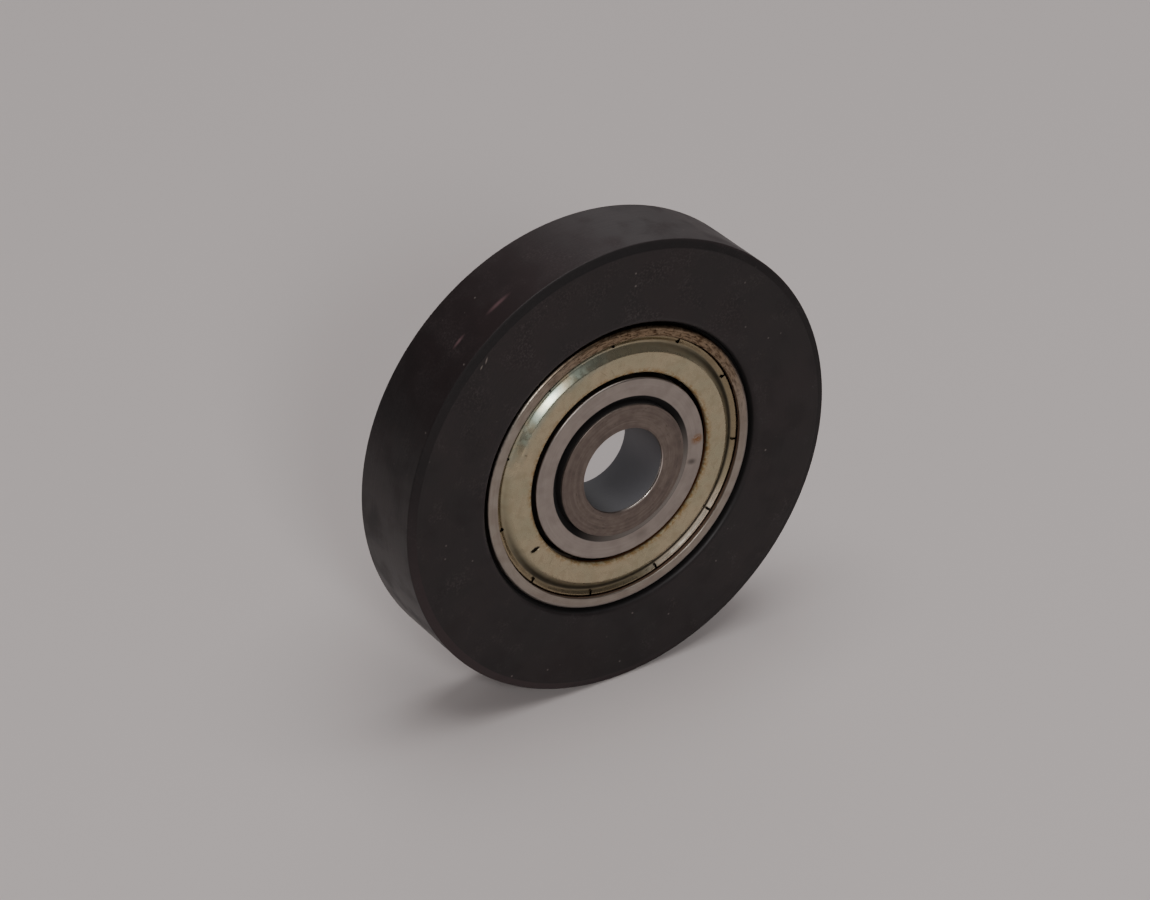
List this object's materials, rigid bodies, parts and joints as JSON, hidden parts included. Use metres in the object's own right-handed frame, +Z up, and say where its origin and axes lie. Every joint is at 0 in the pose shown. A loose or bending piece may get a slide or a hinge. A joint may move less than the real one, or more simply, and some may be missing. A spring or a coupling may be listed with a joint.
{
  "type": "cam follower roller",
  "caption": "Narrow follower roller: a solid dark plastic tyre pressed over a shielded deep-groove ball bearing, with a short steel reducing bush in the bearing's bore.",
  "frame": {"origin": "on the roller's axis, half way through the tyre's width, inside the bush's bore", "axes": "+Y along the roller's axis from the bush's front face to the rear; -Y is the front, where the bush stands proud; +Z up"},
  "size_m": [0.0508, 0.0097, 0.0508],
  "materials": {
    "tyre": "dark brown-black, turned and worn, satin",
    "ring": "hardened bearing steel, ground, with light rust stain",
    "shield": "pressed sheet steel, yellow passivated zinc",
    "bush": "free-cutting steel, turned, dull",
    "cage": "pressed sheet steel, bright, oiled",
    "ball": "polished bearing steel"
  },
  "bodies": {
    "hub": {"inner_ring": "ring", "reducing_bush": "bush"},
    "roller": {"roller_tyre": "tyre", "outer_ring": "ring", "shield_front": "shield", "shield_rear": "shield"},
    "cage": {"cage_half_front": "cage", "cage_half_rear": "cage", "cage_rivet_1": "cage", "cage_rivet_2": "cage", "cage_rivet_3": "cage", "cage_rivet_4": "cage", "cage_rivet_5": "cage", "cage_rivet_6": "cage", "cage_rivet_7": "cage", "cage_rivet_8": "cage", "cage_rivet_9": "cage"},
    "ball_1": {"ball_1": "ball"},
    "ball_2": {"ball_2": "ball"},
    "ball_3": {"ball_3": "ball"},
    "ball_4": {"ball_4": "ball"},
    "ball_5": {"ball_5": "ball"},
    "ball_6": {"ball_6": "ball"},
    "ball_7": {"ball_7": "ball"},
    "ball_8": {"ball_8": "ball"},
    "ball_9": {"ball_9": "ball"}
  },
  "joints": [
    {"name": "roller_spin", "type": "hinge", "parent": "hub", "child": "roller", "pos_m": [0, 0, 0], "axis": [0, 1, 0], "continuous": true},
    {"name": "cage_orbit", "type": "hinge", "parent": "hub", "child": "cage", "pos_m": [0, 0, 0], "axis": [0, 1, 0], "continuous": true},
    {"name": "ball_1_spin", "type": "hinge", "parent": "cage", "child": "ball_1", "pos_m": [0.01175, 0, 0], "axis": [0, 1, 0], "continuous": true},
    {"name": "ball_2_spin", "type": "hinge", "parent": "cage", "child": "ball_2", "pos_m": [0.009, 0, 0.00755], "axis": [0, 1, 0], "continuous": true},
    {"name": "ball_3_spin", "type": "hinge", "parent": "cage", "child": "ball_3", "pos_m": [0.00204, 0, 0.01157], "axis": [0, 1, 0], "continuous": true},
    {"name": "ball_4_spin", "type": "hinge", "parent": "cage", "child": "ball_4", "pos_m": [-0.00588, 0, 0.01018], "axis": [0, 1, 0], "continuous": true},
    {"name": "ball_5_spin", "type": "hinge", "parent": "cage", "child": "ball_5", "pos_m": [-0.01104, 0, 0.00402], "axis": [0, 1, 0], "continuous": true},
    {"name": "ball_6_spin", "type": "hinge", "parent": "cage", "child": "ball_6", "pos_m": [-0.01104, 0, -0.00402], "axis": [0, 1, 0], "continuous": true},
    {"name": "ball_7_spin", "type": "hinge", "parent": "cage", "child": "ball_7", "pos_m": [-0.00588, 0, -0.01018], "axis": [0, 1, 0], "continuous": true},
    {"name": "ball_8_spin", "type": "hinge", "parent": "cage", "child": "ball_8", "pos_m": [0.00204, 0, -0.01157], "axis": [0, 1, 0], "continuous": true},
    {"name": "ball_9_spin", "type": "hinge", "parent": "cage", "child": "ball_9", "pos_m": [0.009, 0, -0.00755], "axis": [0, 1, 0], "continuous": true}
  ],
  "couplings": [
    {"joint": "cage_orbit", "follows": "roller_spin", "ratio": 0.60133},
    {"joint": "ball_1_spin", "follows": "roller_spin", "ratio": 2.3659},
    {"joint": "ball_2_spin", "follows": "roller_spin", "ratio": 2.3659},
    {"joint": "ball_3_spin", "follows": "roller_spin", "ratio": 2.3659},
    {"joint": "ball_4_spin", "follows": "roller_spin", "ratio": 2.3659},
    {"joint": "ball_5_spin", "follows": "roller_spin", "ratio": 2.3659},
    {"joint": "ball_6_spin", "follows": "roller_spin", "ratio": 2.3659},
    {"joint": "ball_7_spin", "follows": "roller_spin", "ratio": 2.3659},
    {"joint": "ball_8_spin", "follows": "roller_spin", "ratio": 2.3659},
    {"joint": "ball_9_spin", "follows": "roller_spin", "ratio": 2.3659}
  ]
}
